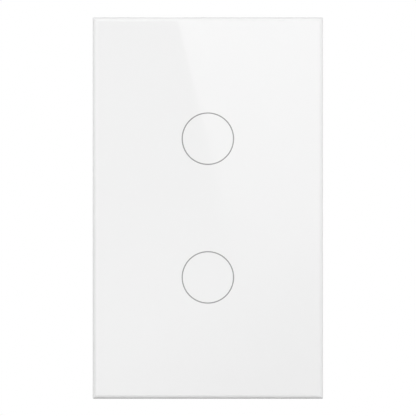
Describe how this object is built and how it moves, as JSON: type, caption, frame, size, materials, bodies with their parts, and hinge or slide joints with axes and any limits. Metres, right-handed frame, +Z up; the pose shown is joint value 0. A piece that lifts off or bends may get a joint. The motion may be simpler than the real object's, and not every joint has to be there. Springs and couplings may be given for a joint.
{
  "type": "smart light switch",
  "caption": "Glass touch switch for a wall box: ringed glass panel on a snap frame, steel bracket, relay and radio boards in a housing with screw terminals.",
  "frame": {"origin": "middle of the bracket's rear face, halfway between the two wall screw slots", "axes": "+Y into the wall, square to the bracket; +Z up the plate; +X to the right as seen from the front"},
  "size_m": [0.0724, 0.035, 0.12],
  "materials": {
    "glass": "polished glass, painted white behind",
    "white_enamel": "opaque white enamel",
    "grey_ring_film": "translucent grey film",
    "bonding_tape": "dark foam tape",
    "white_moulding": "fine moulded texture",
    "housing_moulding": "fine moulded texture",
    "galvanised_steel": "zinc plated",
    "circuit_board": "green solder mask",
    "radio_board": "blue solder mask",
    "spring_steel": "tinned",
    "light_guide": "translucent",
    "lamp_resin": "phosphor resin",
    "tinned_sheet": "tinned sheet",
    "black_resin": "moulded resin",
    "black_connector": "moulded",
    "gold_pins": "plated",
    "terminal_moulding": "moulded",
    "tinned_copper": "tinned",
    "zinc_steel": "zinc plated",
    "relay_shell": "moulded",
    "relay_iron": "plated soft iron",
    "copper_winding": "enamelled copper wire",
    "contact_alloy": "contact alloy",
    "ferrite": "ferrite",
    "bobbin_moulding": "moulded",
    "winding_tape": "yellow insulating tape",
    "capacitor_sleeve": "sleeved can",
    "capacitor_box": "boxed film capacitor",
    "disc_resin": "dipped disc",
    "resistor_body": "lacquered"
  },
  "bodies": {
    "base": {"front_carrier": "white_moulding", "rear_housing": "housing_moulding", "mounting_bracket": "galvanised_steel", "touch_board": "circuit_board", "power_board": "circuit_board", "wifi_module": "radio_board", "touch_spring_top": "spring_steel", "touch_spring_bottom": "spring_steel", "light_guide_top": "light_guide", "light_guide_bottom": "light_guide", "indicator_leds": "lamp_resin", "wifi_shield": "tinned_sheet", "touch_chip": "black_resin", "power_chips": "black_resin", "bridge_rectifier": "black_resin", "link_socket": "black_connector", "link_header": "black_connector", "link_pins": "gold_pins", "terminal_block": "terminal_moulding", "terminal_bars": "tinned_copper", "case_screws": "zinc_steel", "relay_case_1": "relay_shell", "relay_case_2": "relay_shell", "relay_base_1": "relay_shell", "relay_base_2": "relay_shell", "relay_yoke_1": "relay_iron", "relay_yoke_2": "relay_iron", "relay_coil_1": "copper_winding", "relay_coil_2": "copper_winding", "relay_contacts_1": "contact_alloy", "relay_contacts_2": "contact_alloy", "transformer_core": "ferrite", "transformer_bobbin": "bobbin_moulding", "transformer_winding": "winding_tape", "bulk_capacitors": "capacitor_sleeve", "safety_capacitor": "capacitor_box", "varistor": "disc_resin", "fuse_resistor": "resistor_body"},
    "front_panel": {"glass_panel": "glass", "back_print": "white_enamel", "ring_windows": "grey_ring_film", "panel_adhesive": "bonding_tape", "panel_frame": "white_moulding"},
    "clamp_screw_1": {"terminal_screw_1": "zinc_steel"},
    "clamp_cage_1": {"terminal_cage_1": "zinc_steel"},
    "clamp_screw_2": {"terminal_screw_2": "zinc_steel"},
    "clamp_cage_2": {"terminal_cage_2": "zinc_steel"},
    "clamp_screw_3": {"terminal_screw_3": "zinc_steel"},
    "clamp_cage_3": {"terminal_cage_3": "zinc_steel"},
    "clamp_screw_4": {"terminal_screw_4": "zinc_steel"},
    "clamp_cage_4": {"terminal_cage_4": "zinc_steel"},
    "armature_1": {"relay_armature_1": "relay_iron", "relay_leaf_1": "contact_alloy"},
    "armature_2": {"relay_armature_2": "relay_iron", "relay_leaf_2": "contact_alloy"}
  },
  "joints": [
    {"name": "panel_pull_off", "type": "slide", "parent": "base", "child": "front_panel", "axis": [0, -1, 0], "range_m": [0, 0.02]},
    {"name": "clamp_screw_1_turn", "type": "hinge", "parent": "base", "child": "clamp_screw_1", "pos_m": [-0.01095, 0.022, -0.02735], "axis": [0, -1, 0], "range_deg": [0, 2521]},
    {"name": "clamp_cage_1_lift", "type": "slide", "parent": "base", "child": "clamp_cage_1", "axis": [0, 1, 0], "range_m": [0, 0.0035]},
    {"name": "clamp_screw_2_turn", "type": "hinge", "parent": "base", "child": "clamp_screw_2", "pos_m": [-0.00365, 0.022, -0.02735], "axis": [0, -1, 0], "range_deg": [0, 2521]},
    {"name": "clamp_cage_2_lift", "type": "slide", "parent": "base", "child": "clamp_cage_2", "axis": [0, 1, 0], "range_m": [0, 0.0035]},
    {"name": "clamp_screw_3_turn", "type": "hinge", "parent": "base", "child": "clamp_screw_3", "pos_m": [0.00365, 0.022, -0.02735], "axis": [0, -1, 0], "range_deg": [0, 2521]},
    {"name": "clamp_cage_3_lift", "type": "slide", "parent": "base", "child": "clamp_cage_3", "axis": [0, 1, 0], "range_m": [0, 0.0035]},
    {"name": "clamp_screw_4_turn", "type": "hinge", "parent": "base", "child": "clamp_screw_4", "pos_m": [0.01095, 0.022, -0.02735], "axis": [0, -1, 0], "range_deg": [0, 2521]},
    {"name": "clamp_cage_4_lift", "type": "slide", "parent": "base", "child": "clamp_cage_4", "axis": [0, 1, 0], "range_m": [0, 0.0035]},
    {"name": "armature_1_swing", "type": "hinge", "parent": "base", "child": "armature_1", "pos_m": [-0.0071, 0.0183, -0.01425], "axis": [0, 0, 1], "range_deg": [0, 5.5], "stiffness_Nm_per_rad": 0.002, "springref_deg": -5.73},
    {"name": "armature_2_swing", "type": "hinge", "parent": "base", "child": "armature_2", "pos_m": [0.0113, 0.0183, -0.01425], "axis": [0, 0, 1], "range_deg": [0, 5.5], "stiffness_Nm_per_rad": 0.002, "springref_deg": -5.73}
  ],
  "couplings": [
    {"joint": "clamp_screw_1_turn", "follows": "clamp_cage_1_lift", "rad_per_m": 12566},
    {"joint": "clamp_screw_2_turn", "follows": "clamp_cage_2_lift", "rad_per_m": 12566},
    {"joint": "clamp_screw_3_turn", "follows": "clamp_cage_3_lift", "rad_per_m": 12566},
    {"joint": "clamp_screw_4_turn", "follows": "clamp_cage_4_lift", "rad_per_m": 12566}
  ]
}
